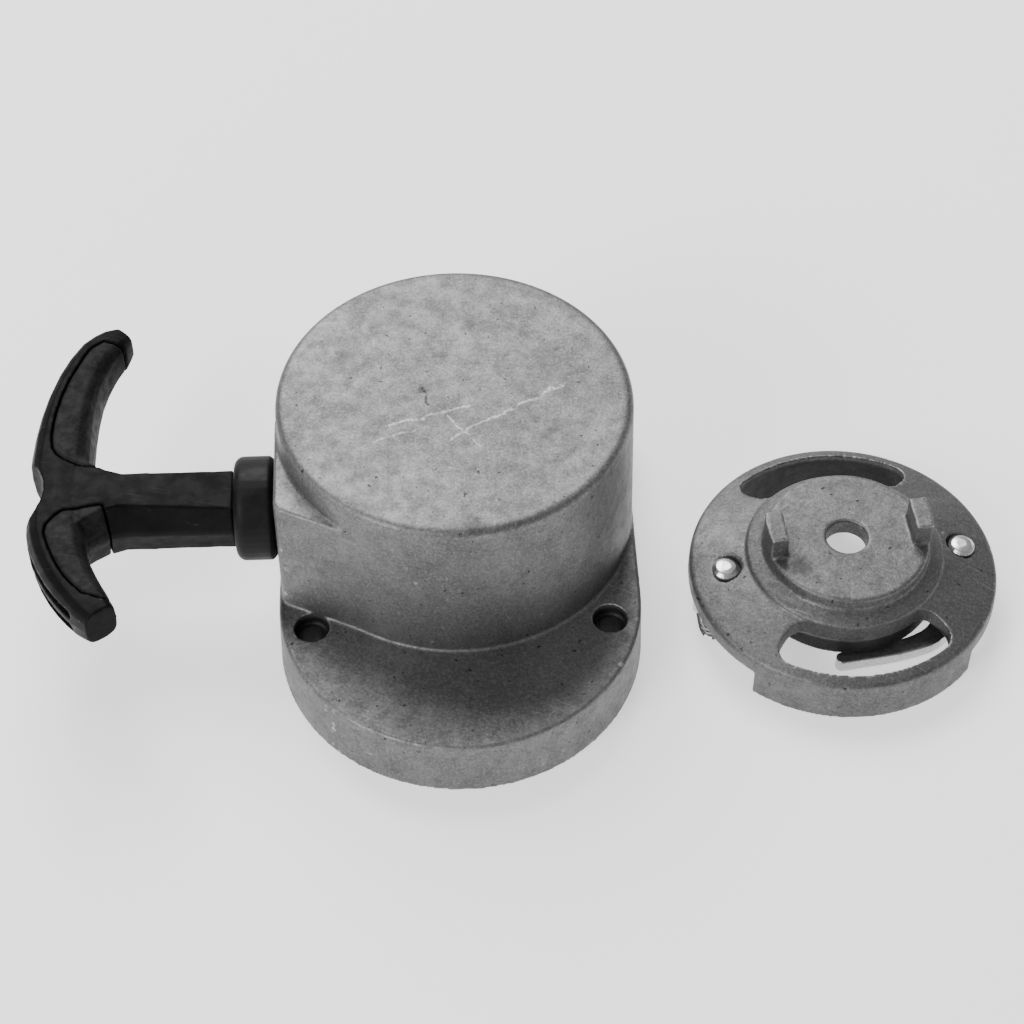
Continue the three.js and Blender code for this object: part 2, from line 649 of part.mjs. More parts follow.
function hubLug(bearing) {
  const { inner, outer, halfWidth, top } = LUG;
  const block = box(inner, outer + 2, -halfWidth, halfWidth, HUB.height - 1, top);
  return block.intersect(disc(outer + 0.1, 0, 40, 56)).rotate([0, 0, bearing]);
}

function driveHub() {
  const { rimRadius, skirtInner, rimBottom, skirtHalfAngle, coneTop, facets } = HUB;
  const skirtRing = ring(skirtInner, rimRadius + 0.1, 0, rimBottom + 1, facets);
  const skirts = [90, 270].map((bearing) =>
    skirtRing.intersect(sector(skirtInner - 5, rimRadius + 5, 0, rimBottom + 1, bearing, skirtHalfAngle)));
  const pinPlaces = [0, 180];
  const bosses = pinPlaces.map((bearing) =>
    disc(PIN.boss, PAWL.top + 0.5, coneTop - 4.5, 24).translate([PIN.radius, 0, 0]).rotate([0, 0, bearing]));
  const studs = [0, 180].map((bearing) =>
    disc(COIL.stud, 1.2, rimBottom + 1.5, 14).translate([...polar(COIL.radius, COIL.bearing + bearing), 0]));
  const pinHoles = pinPlaces.map((bearing) => join(
    disc(PIN.shank + 0.15, 0, 30, 18).translate([PIN.radius, 0, 0]),
    disc(PIN.recess, PIN.headTop - 2.1, 30, 24).translate([PIN.radius, 0, 0]),
  ).rotate([0, 0, bearing]));
  const body = join(hubShell(), skirts, bosses, studs, hubLug(0), hubLug(180));
  return cut(body, plateSlot(90), plateSlot(270), pinHoles);
}

// One curved steel pawl, drawn about its pivot with the arm sweeping toward -Y.
function pawl() {
  const curve = new THREE.CatmullRomCurve3(PAWL.swing.map(([x, y]) => new THREE.Vector3(x, y, 0)));
  const steps = 12;
  const edge = (sign) => Array.from({ length: steps + 1 }, (_, i) => {
    const share = i / steps;
    const point = curve.getPoint(share);
    const tangent = curve.getTangent(share);
    const half = THREE.MathUtils.lerp(PAWL.root, PAWL.tip, Math.sqrt(share));
    return [point.x - sign * half * tangent.y, point.y + sign * half * tangent.x];
  });
  const { bottom, top, eye, tip, tail } = PAWL;
  const arm = prism([...edge(1), ...edge(-1).reverse()], bottom, top);
  const point = disc(tip, bottom, top, 14).translate([...PAWL.swing.at(-1), 0]);
  const hook = join(
    disc(tail.radius, bottom, top, 14).translate([tail.x, tail.y, 0]),
    box(0, tail.x, tail.y - tail.radius, tail.y + tail.radius, bottom, top),
  );
  const body = join(arm, disc(eye, bottom, top, 24), point, hook);
  return cut(body, disc(PIN.shank + 0.15, bottom - 1, top + 1, 18));
}

// A shouldered pin with a domed head, riveted over below the pawl.
function pawlPin() {
  const { shank, head, headTop } = PIN;
  const seat = headTop - 1.9;
  const foot = PAWL.bottom - 1.7;
  return revolve([
    [0, foot], [shank - 0.4, foot], [shank, foot + 0.5], [shank, seat], [head, seat],
    [head, seat + 0.8], [head * 0.72, headTop - 0.25], [head * 0.4, headTop], [0, headTop],
  ], 20);
}

function pawlWasher() {
  return ring(PIN.shank + 0.15, 4.6, PAWL.bottom - GAP - 0.8, PAWL.bottom - GAP, 20);
}

// Torsion spring on the stud beside the pin: one leg runs past the pawl's tail, one lies inward.
function pawlSpring() {
  const { mean, wire, turns, bottom, rise, leg } = COIL;
  const perTurn = 9;
  const count = Math.round((turns + 0.25) * perTurn);
  const points = [new THREE.Vector3(mean, -leg, bottom)];
  for (let i = 0; i <= count; i += 1) {
    const [x, y] = polar(mean, (360 * i) / perTurn);
    points.push(new THREE.Vector3(x, y, bottom + (rise * i) / perTurn));
  }
  points.push(new THREE.Vector3(-leg, mean, bottom + rise * (turns + 0.3)));
  const [x, y] = polar(COIL.radius, COIL.bearing);
  return rod(points, wire, 46, 4).translate([x - PIN.radius, y, 0]);
}

// ---- assembly ----

function mesh(name, body, material) {
  const data = body.translate(CENTRE).getMesh();
  const geometry = new THREE.BufferGeometry();
  geometry.setAttribute('position', new THREE.BufferAttribute(new Float32Array(data.vertProperties), 3));
  geometry.setIndex(new THREE.BufferAttribute(new Uint32Array(data.triVerts), 1));
  geometry.computeVertexNormals();
  const node = new THREE.Mesh(geometry, material);
  node.name = name;
  return node;
}

const onHub = (part) => part.rotate([0, 0, HUB.turn]).translate([HUB.x, HUB.y, 0]);

// Places a pawl-side piece drawn about the pin, on the pin at bearing 0 or 180.
const atPin = (part, bearing) => onHub(part.translate([PIN.radius, 0, 0]).rotate([0, 0, bearing]));

const assembly = new THREE.Group();
assembly.name = 'recoil_starter';
assembly.add(
  mesh('housing', housing(), MATERIAL.casting),
  mesh('rope_eyelet', ropeEyelet(), MATERIAL.steel),
  mesh('spring_case', springCase(), MATERIAL.steel),
  mesh('recoil_spring', recoilSpring(), MATERIAL.springSteel),
  mesh('retainer_washer', retainerWasher(), MATERIAL.steel),
  mesh('centre_screw', centreScrew(), MATERIAL.steel),
  mesh('pulley', pulley(), MATERIAL.pulleyPlastic),
  mesh('pulley_bush', pulleyBush(), MATERIAL.bronze),
  mesh('rope_coil', ropeCoil(), MATERIAL.rope),
  mesh('pulley_knot', anchorKnot(), MATERIAL.rope),
  mesh('ratchet_cup', ratchetCup(), MATERIAL.steel),
  ...Array.from({ length: CUP_SCREW.count }, (_, i) =>
    mesh(`cup_screw_${i + 1}`, cupScrew(i), MATERIAL.steel)),
  mesh('handle_body', handleBody(), MATERIAL.nylon),
  mesh('grip_pad_1', gripPad(PAD.rear), MATERIAL.rubber),
  mesh('grip_pad_2', gripPad(PAD.front), MATERIAL.rubber),
  mesh('handle_collar', handleCollar(), MATERIAL.rubber),
  mesh('rope_run', ropeRun(), MATERIAL.rope),
  mesh('rope_knot', ropeKnot(), MATERIAL.rope),
  mesh('knot_washer', knotWasher(), MATERIAL.steel),
  mesh('drive_hub', onHub(driveHub()), MATERIAL.hubCasting),
);
[180, 0].forEach((bearing, i) => {
  assembly.add(
    mesh(`pawl_${i + 1}`, atPin(pawl(), bearing), MATERIAL.steel),
    mesh(`pawl_pin_${i + 1}`, atPin(pawlPin(), bearing), MATERIAL.steel),
    mesh(`pawl_washer_${i + 1}`, atPin(pawlWasher(), bearing), MATERIAL.steel),
    mesh(`pawl_spring_${i + 1}`, atPin(pawlSpring(), bearing), MATERIAL.springSteel),
  );
});

export default assembly;
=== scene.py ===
"""Recoil starter: the looks of the cast can, its T-handle and the loose drive hub."""
import json
import math

import bmesh
import bpy
import numpy as np
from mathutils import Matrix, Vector


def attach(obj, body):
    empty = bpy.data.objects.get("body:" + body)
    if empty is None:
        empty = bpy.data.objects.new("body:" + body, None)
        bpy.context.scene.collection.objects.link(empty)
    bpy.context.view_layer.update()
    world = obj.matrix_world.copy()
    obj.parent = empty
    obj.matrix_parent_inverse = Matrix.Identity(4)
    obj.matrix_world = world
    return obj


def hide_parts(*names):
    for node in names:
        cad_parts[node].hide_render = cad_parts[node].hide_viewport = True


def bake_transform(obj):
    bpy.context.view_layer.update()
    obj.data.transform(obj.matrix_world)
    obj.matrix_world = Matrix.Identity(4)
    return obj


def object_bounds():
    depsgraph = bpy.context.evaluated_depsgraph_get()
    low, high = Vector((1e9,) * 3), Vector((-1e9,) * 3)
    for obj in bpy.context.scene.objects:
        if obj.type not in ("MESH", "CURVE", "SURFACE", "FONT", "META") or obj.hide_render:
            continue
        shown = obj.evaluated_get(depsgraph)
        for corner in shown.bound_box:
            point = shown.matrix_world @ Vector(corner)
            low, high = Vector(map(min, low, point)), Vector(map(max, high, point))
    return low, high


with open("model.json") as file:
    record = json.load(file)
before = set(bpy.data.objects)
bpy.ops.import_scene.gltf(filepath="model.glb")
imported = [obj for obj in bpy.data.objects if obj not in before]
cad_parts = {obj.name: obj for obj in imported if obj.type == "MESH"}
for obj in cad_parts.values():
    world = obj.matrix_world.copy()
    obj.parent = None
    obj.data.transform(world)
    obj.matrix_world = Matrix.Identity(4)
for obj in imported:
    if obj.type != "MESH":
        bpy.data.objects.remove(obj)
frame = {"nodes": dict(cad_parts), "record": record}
CAD_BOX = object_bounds()
BODY_OF = {
    node: body
    for body, nodes in frame["record"]["behaviour"]["bodies"].items()
    for node in nodes
}

MM = 0.001
JOINTS = {joint["name"]: joint for joint in frame["record"]["behaviour"]["joints"]}
CAN_AXIS = Vector(JOINTS["pulley_spin"]["pos_m"]).to_2d()
HUB_AXIS = Vector(JOINTS["hub_spin"]["pos_m"]).to_2d()
PIN = Vector(JOINTS["pawl_swing_2"]["pos_m"]).to_2d()
HUB_TURN = math.atan2(PIN.y - HUB_AXIS.y, PIN.x - HUB_AXIS.x)
NOSE_AXIS = CAN_AXIS - Vector((0, 29 * MM))
NOSE_RADIUS = 45.3 * MM
FLANGE_TOP = 16.4 * MM

# The facets that the CAD part turns its round surfaces in.
CAN_FACETS = 60
NOSE_FACETS = 72
HUB_FACETS = 56
# Turned surfaces are known by their normals: the least horizontal part, and the least cosine
# between that part and the direction to the axis.
LEAST_LEAN = 0.15
LEAST_FACING = 0.99

# The rope's centreline from the pulley through the eyelet to the knot in the handle.
ROPE_RADIUS = 1.8 * MM
ROPE_ROUTE = [(-30.7, -13.2, 36), (-38.6, -8.8, 36), (-50.6, 0.5, 34.6), (-57.6, 2.9, 34),
              (-62, 2.9, 34), (-86.8, 2.9, 34), (-108.8, 2.9, 34)]
ROPE_GAP = (-59.7, -60.5)
ROPE_SPACING = 0.4 * MM
ROPE_SIDES = 24
GAP_STEPS = 60
STRANDS = 6
STRAND_PITCH = 0.55 * MM

# Voxel size and relaxing passes of each finer skin.
SKIN = {
    "housing": (0.42 * MM, 2),
    "drive_hub": (0.36 * MM, 3),
    "handle_body": (0.36 * MM, 5),
    "grip_pad": (0.3 * MM, 24),
    "handle_collar": (0.3 * MM, 5),
    "pawl": (0.2 * MM, 3),
    "pawl_pin": (0.15 * MM, 3),
}

# Points closer than this are welded, and faces flatter than this are merged.
WELD = 0.002 * MM
FLAT_ANGLE = math.radians(0.5)

# Soft disk lights: place, size and power, all aimed at the origin.
LIGHTS = {
    "back": ((-0.3, 1.1, 1.3), 1.2, 36),
    "key": ((-0.9, -0.8, 0.85), 0.7, 16),
}
WORLD_STRENGTH = 0.4
FLOOR_HALF_SIDE = 6.0
FLOOR_GLOW = 0.9

# The viewing angle: a 90 mm lens 50 degrees above the ground, turned a little to the right.
CAMERA = {"place": (-0.0182, -0.4078, 0.5193), "tilt": 40.0, "turn": -2.29, "lens": 89.54}


# ---- shader building ----

def add(tree, kind, inputs=None, **settings):
    """A node with its settings, and its inputs given as values or as sockets to link."""
    made = tree.nodes.new("ShaderNode" + kind)
    for key, value in settings.items():
        setattr(made, key, value)
    for key, value in (inputs or {}).items():
        if isinstance(value, bpy.types.NodeSocket):
            tree.links.new(value, made.inputs[key])
        else:
            made.inputs[key].default_value = value
    return made


def place(tree, scale=(1, 1, 1), turn=(0, 0, 0), shift=(0, 0, 0)):
    """Object coordinates in metres, turned, moved and scaled."""
    coordinates = add(tree, "TexCoord").outputs["Object"]
    angles = tuple(math.radians(a) for a in turn)
    turned = add(tree, "Mapping", {"Vector": coordinates, "Rotation": angles, "Location": shift})
    scaled = add(tree, "VectorMath", {0: turned.outputs[0], 1: scale}, operation="MULTIPLY")
    return scaled.outputs[0]


def grain(tree, scale, detail=4.0, rough=0.55, vector=None, warp=0.0):
    """Fractal noise, from 0 to 1 with its middle near 0.5."""
    vector = vector or place(tree)
    made = add(tree, "TexNoise", {
        "Vector": vector, "Scale": scale, "Detail": detail, "Roughness": rough, "Distortion": warp,
    })
    return made.outputs["Fac"]


def step(tree, value, low, high, to_low=0.0, to_high=1.0):
    """A smooth ramp of a value between two limits."""
    made = add(tree, "MapRange", {
        "Value": value, "From Min": low, "From Max": high, "To Min": to_low, "To Max": to_high,
    }, interpolation_type="SMOOTHSTEP")
    return made.outputs[0]


def calc(tree, operation, a, b=0.0):
    """One arithmetic step."""
    return add(tree, "Math", {0: a, 1: b}, operation=operation).outputs[0]


def blend(tree, share, low, high):
    """Two colours mixed, each given as a socket or as values."""
    made = add(tree, "Mix", {0: share}, data_type="RGBA")
    for index, value in ((6, low), (7, high)):
        if isinstance(value, bpy.types.NodeSocket):
            tree.links.new(value, made.inputs[index])
        else:
            made.inputs[index].default_value = (*value, 1.0)
    return made.outputs[2]


def grey(level):
    """A neutral colour, a trace warmer than pure grey."""
    return (level, level, level * 0.995)


def bump(tree, height, strength, distance, normal=None):
    """Relief from a texture, laid over an earlier relief if one is given."""
    inputs = {"Height": height, "Strength": strength, "Distance": distance}
    if normal:
        inputs["Normal"] = normal
    return add(tree, "Bump", inputs).outputs[0]


def edge_wear(tree, low, high):
    """1 on convex edges, 0 on open faces and in corners."""
    return step(tree, add(tree, "NewGeometry").outputs["Pointiness"], low, high)


def spot(tree, x, y, radius, vector):
    """A soft round mark at a place in plan, its outline broken up by a warped vector."""
    offset = add(tree, "VectorMath", {0: vector, 1: (x, y, 0)}, operation="SUBTRACT").outputs[0]
    flat = add(tree, "VectorMath", {0: offset, 1: (1, 1, 0)}, operation="MULTIPLY").outputs[0]
    reach = add(tree, "VectorMath", {0: flat}, operation="LENGTH").outputs["Value"]
    return step(tree, reach, radius, radius * 0.25)


def painted_recess_shade(tree, x, y, radius, height):
    """One within an upright cylinder and under a height: painted shade that darkens a recess."""
    vector = place(tree)
    flat = add(tree, "VectorMath", {0: vector, 1: (1, 1, 0)}, operation="MULTIPLY").outputs[0]
    away = add(tree, "VectorMath", {0: flat, 1: (x, y, 0)}, operation="DISTANCE").outputs["Value"]
    level = add(tree, "SeparateXYZ", {"Vector": vector}).outputs["Z"]
    within = step(tree, away, radius, radius - 0.3 * MM)
    return calc(tree, "MULTIPLY", within, step(tree, level, height, height - 1.5 * MM))


def stroke(tree, start, end, width, vector):
    """A thin mark along a straight line in plan, made ragged by a warped vector."""
    ahead = Vector((*(Vector(end) - Vector(start)), 0))
    offset = add(tree, "VectorMath", {0: vector, 1: (*start, 0)}, operation="SUBTRACT").outputs[0]
    flat = add(tree, "VectorMath", {0: offset, 1: (1, 1, 0)}, operation="MULTIPLY").outputs[0]
    share = add(tree, "VectorMath", {0: flat, 1: ahead / ahead.length_squared}, operation="DOT_PRODUCT")
    along = add(tree, "Clamp", {"Value": share.outputs["Value"]}).outputs[0]
    nearest = add(tree, "VectorMath", {0: ahead, "Scale": along}, operation="SCALE").outputs[0]
    away = add(tree, "VectorMath", {0: flat, 1: nearest}, operation="DISTANCE").outputs["Value"]
    return step(tree, away, width, width * 0.3)


def warped(tree, scale, amount):
    """Object coordinates pushed about by noise."""
    noise_colour = add(tree, "TexNoise", {"Vector": place(tree), "Scale": scale, "Detail": 3.0})
    centred = add(tree, "VectorMath", {0: noise_colour.outputs["Color"], 1: (0.5, 0.5, 0.5)},
                  operation="SUBTRACT").outputs[0]
    pushed = add(tree, "VectorMath", {0: centred, 1: (amount, amount, amount)},
                 operation="MULTIPLY").outputs[0]
    return add(tree, "VectorMath", {0: place(tree), 1: pushed}, operation="ADD").outputs[0]


def new_material(name, metallic=0.0, roughness=0.5, **sockets):
    """A material with its node tree and its principled shader."""
    material = bpy.data.materials.new(name)
    material.use_nodes = True
    tree = material.node_tree
    shader = tree.nodes["Principled BSDF"]
    shader.inputs["Metallic"].default_value = metallic
    shader.inputs["Roughness"].default_value = roughness
    for key, value in sockets.items():
        shader.inputs[key.replace("_", " ")].default_value = value
    return material, tree, shader


def connect(tree, shader, colour=None, roughness=None, normal=None):
    """Links whichever of the three are given to the shader."""
    for key, value in (("Base Color", colour), ("Roughness", roughness), ("Normal", normal)):
        if value is not None:
            tree.links.new(value, shader.inputs[key])


# ---- materials ----

def scratches(tree, turn, width, density):
    """Fine, nearly straight scratches that lie along one direction."""
    lines = grain(tree, 1.0, 2.0, 0.5, place(tree, (60, 2600, 400), (0, 0, turn)), 0.2)
    patches = grain(tree, 70.0, 2.0, 0.5)
    sharp = step(tree, lines, 0.66, 0.66 + width)
    return calc(tree, "MULTIPLY", sharp, step(tree, patches, density, density + 0.08))


def mottled(tree, level):
    """The casting's uneven grey, and the textures its relief is made from."""
    broad = grain(tree, 45.0, 6.0, 0.65, warp=0.4)
    middle = grain(tree, 260.0, 5.0, 0.65)
    fine = grain(tree, 1500.0, 4.0, 0.7)
    colour = blend(tree, step(tree, broad, 0.32, 0.68), grey(level * 0.78), grey(level * 1.12))
    colour = blend(tree, step(tree, middle, 0.35, 0.75, 0.0, 0.6), colour, grey(level * 0.62))
    colour = blend(tree, step(tree, fine, 0.45, 0.72, 0.0, 0.6), colour, grey(level * 1.7))
    colour = blend(tree, step(tree, fine, 0.5, 0.3, 0.0, 0.5), colour, grey(level * 0.45))
    pits = step(tree, grain(tree, 620.0, 2.0, 0.5), 0.69, 0.75)
    colour = blend(tree, pits, colour, grey(level * 0.25))
    stains = step(tree, grain(tree, 95.0, 7.0, 0.7, warp=0.8), 0.6, 0.72, 0.0, 0.6)
    return blend(tree, stains, colour, grey(level * 0.4)), middle, fine, pits


def marked(tree, colour, level, marks, bright, dark):
    """Smudges, bright scratches and dark cracks at their own places."""
    ragged = warped(tree, 420.0, 0.006)
    for x, y, radius, strength in marks:
        mark = calc(tree, "MULTIPLY", spot(tree, x, y, radius, ragged), strength)
        colour = blend(tree, mark, colour, grey(level * 0.25))
    frayed = warped(tree, 300.0, 0.0035)
    for lines, tone in ((bright, 2.2), (dark, 0.15)):
        for start, end, width in lines:
            broken = step(tree, grain(tree, 800.0, 3.0, 0.6), 0.4, 0.6, 0.2, 1.0)
            line = calc(tree, "MULTIPLY", stroke(tree, start, end, width, frayed), broken)
            colour = blend(tree, line, colour, grey(level * tone))
    return colour


def wear_and_corner_shade(tree, colour, level):
    """Fine scratches all over, bright wear on convex edges, and painted shade darkening the corners."""
    fine_lines = calc(tree, "MAXIMUM", scratches(tree, 28, 0.05, 0.5), scratches(tree, -40, 0.05, 0.58))
    colour = blend(tree, calc(tree, "MULTIPLY", fine_lines, 0.6), colour, grey(level * 1.9))
    patchy = step(tree, grain(tree, 330.0, 5.0, 0.65), 0.4, 0.6, 0.15, 1.0)
    wear = calc(tree, "MULTIPLY", edge_wear(tree, 0.515, 0.56), patchy)
    colour = blend(tree, calc(tree, "MULTIPLY", wear, 0.85), colour, grey(level * 2.6))
    # Painted shade: concave corners and creases are darkened.
    corner_shade = step(tree, add(tree, "NewGeometry").outputs["Pointiness"], 0.48, 0.42, 0.0, 0.6)
    return blend(tree, corner_shade, colour, grey(level * 0.3))


def cast_metal(name, level, marks, bright=(), dark=(), shaded_recesses=()):
    """Tumbled die casting: mottled satin grey, pits, stains, scratches and bright edge wear, with
    painted shade in corners and recesses.
    """
    material, tree, shader = new_material(name, metallic=0.8, roughness=0.5)
    colour, middle, fine, pits = mottled(tree, level)
    colour = marked(tree, colour, level, marks, bright, dark)
    colour = wear_and_corner_shade(tree, colour, level)
    # Painted shade: each recess is darkened to near black within its cylinder and under its height.
    for shaded_recess in shaded_recesses:
        colour = blend(tree, calc(tree, "MULTIPLY", painted_recess_shade(tree, *shaded_recess), 0.85), colour, grey(0.012))
    roughness = step(tree, middle, 0.2, 0.8, 0.42, 0.6)
    normal = bump(tree, fine, 0.5, 0.00014)
    normal = bump(tree, middle, 0.3, 0.0004, normal)
    normal = bump(tree, pits, -0.5, 0.0002, normal)
    connect(tree, shader, colour, roughness, normal)
    return material


def bright_steel(name, level=0.6, roughness=0.3):
    """Turned or pressed steel with fine tool lines and a few dull spots."""
    material, tree, shader = new_material(name, metallic=1.0, roughness=roughness)
    lines = grain(tree, 1.0, 3.0, 0.6, place(tree, (900, 900, 5200)))
    spots = step(tree, grain(tree, 520.0, 3.0, 0.6), 0.55, 0.75)
    colour = blend(tree, step(tree, lines, 0.3, 0.7), grey(level * 0.85), grey(level * 1.15))
    colour = blend(tree, calc(tree, "MULTIPLY", spots, 0.4), colour, grey(level * 0.5))
    normal = bump(tree, lines, 0.2, 0.00006)
    rough = step(tree, spots, 0.0, 1.0, roughness, roughness + 0.2)
    connect(tree, shader, colour, rough, normal)
    return material


def black_nylon():
    """Moulded glass-filled nylon: fine spark grain, faint scuffs and slightly polished edges."""
    material, tree, shader = new_material("black_nylon", roughness=0.5, Specular_IOR_Level=0.05)
    spark = grain(tree, 2600.0, 3.0, 0.6)
    scuffs = scratches(tree, 12, 0.08, 0.46)
    colour = blend(tree, step(tree, grain(tree, 130.0), 0.3, 0.7), grey(0.003), grey(0.006))
    colour = blend(tree, calc(tree, "MULTIPLY", scuffs, 0.4), colour, grey(0.06))
    wear = calc(tree, "MULTIPLY", edge_wear(tree, 0.54, 0.62), 0.5)
    colour = blend(tree, wear, colour, grey(0.06))
    rough = step(tree, grain(tree, 300.0), 0.3, 0.7, 0.4, 0.56)
    connect(tree, shader, colour, rough, bump(tree, spark, 0.3, 0.00008))
    return material


def pad_rubber():
    """Soft grip rubber with a leathery moulded grain."""
    material, tree, shader = new_material("pad_rubber", roughness=0.6, Specular_IOR_Level=0.08)
    cells = add(tree, "TexVoronoi", {"Vector": place(tree), "Scale": 1150.0}, feature="SMOOTH_F1")
    leather = step(tree, cells.outputs["Distance"], 0.1, 0.8)
    colour = blend(tree, leather, grey(0.012), grey(0.004))
    colour = blend(tree, step(tree, grain(tree, 160.0), 0.4, 0.75, 0.0, 0.5), colour, grey(0.024))
    rough = step(tree, grain(tree, 420.0), 0.3, 0.7, 0.48, 0.66)
    normal = bump(tree, leather, -0.55, 0.0003)
    normal = bump(tree, grain(tree, 2900.0), 0.3, 0.0001, normal)
    connect(tree, shader, colour, rough, normal)
    return material


def buffer_rubber():
    """Smooth dark buffer rubber with a dusty bloom."""
    material, tree, shader = new_material("buffer_rubber", roughness=0.55, Specular_IOR_Level=0.15)
    bloom = grain(tree, 210.0, 5.0, 0.65)
    colour = blend(tree, step(tree, bloom, 0.35, 0.75), grey(0.003), grey(0.008))
    rough = step(tree, bloom, 0.3, 0.7, 0.45, 0.62)
    connect(tree, shader, colour, rough, bump(tree, grain(tree, 1800.0), 0.25, 0.0001))
    return material


def braided_rope():
    """Off-white braid: crossing diagonal strands round the rope."""
    material, tree, shader = new_material("braided_rope", roughness=0.85)
    strands = [
        add(tree, "TexWave", {"Vector": place(tree, turn=(0, 0, turn)), "Scale": 420.0},
            bands_direction="DIAGONAL").outputs["Fac"]
        for turn in (35, -35)
    ]
    braid = calc(tree, "MAXIMUM", *strands)
    colour = blend(tree, braid, (0.36, 0.34, 0.28), (0.72, 0.69, 0.6))
    connect(tree, shader, colour, None, bump(tree, braid, 0.6, 0.0004))
    return material


def pulley_plastic():
    """Moulded pulley plastic with a light haze of dust."""
    material, tree, shader = new_material("pulley_plastic", roughness=0.45)
    dust = grain(tree, 180.0, 5.0, 0.6)
    colour = blend(tree, step(tree, dust, 0.4, 0.75), (0.022, 0.024, 0.028), (0.075, 0.075, 0.075))
    rough = step(tree, dust, 0.3, 0.7, 0.38, 0.6)
    connect(tree, shader, colour, rough, bump(tree, grain(tree, 1600.0), 0.2, 0.0001))
    return material


def bronze():
    """Sintered bearing bronze, oily and open-grained."""
    material, tree, shader = new_material("bronze", metallic=1.0, roughness=0.35)
    pores = grain(tree, 1700.0, 3.0, 0.6)
    colour = blend(tree, step(tree, pores, 0.3, 0.7), (0.3, 0.19, 0.08), (0.6, 0.41, 0.19))
    connect(tree, shader, colour, step(tree, pores, 0.2, 0.8, 0.28, 0.5), bump(tree, pores, 0.3, 0.0001))
    return material


# Marks on the castings, in mm from the can's or the hub's axis.
# Dark smudges: x, y, radius, strength.
CAN_MARKS = [(-27, 14, 4.5, 0.55), (-3, 14, 3.2, 0.4), (4.5, 24, 3.0, 0.4), (3.8, -41, 3.2, 0.5),
             (-7.4, 2.5, 1.3, 0.7), (22, -13, 3.5, 0.45)]
HUB_MARKS = [(-12.5, -9, 4.0, 0.75), (-9, -14, 2.6, 0.4), (6, -16, 3.0, 0.35)]
# Bright scratches and a dark crack: both ends as x, y, x, y, and the width.
CAN_SCRATCHES = [((-16, -9, 3.5, -3), 0.5), ((-1.5, -14, 7, -8.5), 0.5), ((7, -8.5, 26, 2.5), 0.55),
                 ((-20, -14, -10, -11), 0.35), ((-2, -6, 6, -17), 0.35)]
CAN_CRACKS = [((-7.8, 4.5, -6.9, -3), 0.45)]
# The hub's underside cavity, darkened with painted shade: radius and height.
HUB_SHADE_REACH = (36.4 * MM, 12.6 * MM)
# The bolt holes' places from the can's axis, and the reach of the painted shade in their counterbores.
BOLT_AT = (37.1, 36.4)
BOLT_SHADE_RADIUS = 4.9 * MM
BOLT_SHADE_TOP = FLANGE_TOP - 0.4 * MM


def around_axis(marks, axis):
    """Round marks moved from an axis to the part's own place, in metres."""
    return [
        (axis.x + x * MM, axis.y + y * MM, radius * MM, strength)
        for x, y, radius, strength in marks
    ]


def on_axis(lines, axis):
    """Line marks moved the same way."""
    return [
        ((axis.x + ax * MM, axis.y + ay * MM), (axis.x + bx * MM, axis.y + by * MM), width * MM)
        for (ax, ay, bx, by), width in lines
    ]


def shaded_bolt_counterbores():
    """The four counterbores, where painted shade darkens the walls: x, y, radius, height."""
    across, along = (distance * MM for distance in BOLT_AT)
    return [
        (CAN_AXIS.x + side * across, CAN_AXIS.y + end * along, BOLT_SHADE_RADIUS, BOLT_SHADE_TOP)
        for side in (-1, 1)
        for end in (-1, 1)
    ]


def all_materials():
    return {
        "casting": cast_metal(
            "cast_can", 0.15, around_axis(CAN_MARKS, CAN_AXIS),
            bright=on_axis(CAN_SCRATCHES, CAN_AXIS), dark=on_axis(CAN_CRACKS, CAN_AXIS),
            shaded_recesses=shaded_bolt_counterbores(),
        ),
        "hub_casting": cast_metal(
            "cast_hub", 0.13, around_axis(HUB_MARKS, HUB_AXIS), shaded_recesses=[(*HUB_AXIS, *HUB_SHADE_REACH)],
        ),
        "steel": bright_steel("bright_steel"),
        "spring_steel": bright_steel("spring_steel", 0.32, 0.38),
        "nylon": black_nylon(),
        "pad_rubber": pad_rubber(),
        "buffer_rubber": buffer_rubber(),
        "rope": braided_rope(),
        "pulley_plastic": pulley_plastic(),
        "bronze": bronze(),
    }


MATERIALS = all_materials()
SLOT_OF = {part["node"]: part["material_slot"] for part in frame["record"]["subparts"]}


# ---- pieces ----

def cleaned(name):
    """A copy of a CAD node's mesh, welded, with its flat facets merged."""
    work = bmesh.new()
    work.from_mesh(frame["nodes"][name].data)
    bmesh.ops.remove_doubles(work, verts=work.verts, dist=WELD)
    bmesh.ops.dissolve_limit(work, angle_limit=FLAT_ANGLE, verts=work.verts, edges=work.edges)
    mesh = bpy.data.meshes.new(name + "_fine")
    work.to_mesh(mesh)
    work.free()
    return mesh


def stand_in(name, mesh):
    """Shows a finer piece in place of a CAD node, on the same body and material slot."""
    piece = bpy.data.objects.new(name + "_fine", mesh)
    bpy.context.scene.collection.objects.link(piece)
    mesh.materials.clear()
    mesh.materials.append(MATERIALS[SLOT_OF[name]])
    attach(piece, BODY_OF[name])
    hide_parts(name)
    return piece


def skinned(name, voxel):
    """A node's skin as one dense, even mesh."""
    probe = bpy.data.objects.new("probe", cleaned(name))
    bpy.context.scene.collection.objects.link(probe)
    remesh = probe.modifiers.new("skin", "REMESH")
    remesh.mode = "VOXEL"
    remesh.voxel_size = voxel
    ready = probe.evaluated_get(bpy.context.evaluated_depsgraph_get())
    mesh = bpy.data.meshes.new_from_object(ready)
    mesh.name = name + "_fine"
    bpy.data.objects.remove(probe)
    return mesh


def read(mesh, what):
    values = np.empty(len(mesh.vertices) * 3, np.float32)
    mesh.vertices.foreach_get(what, values)
    return values.reshape(-1, 3).astype(float)


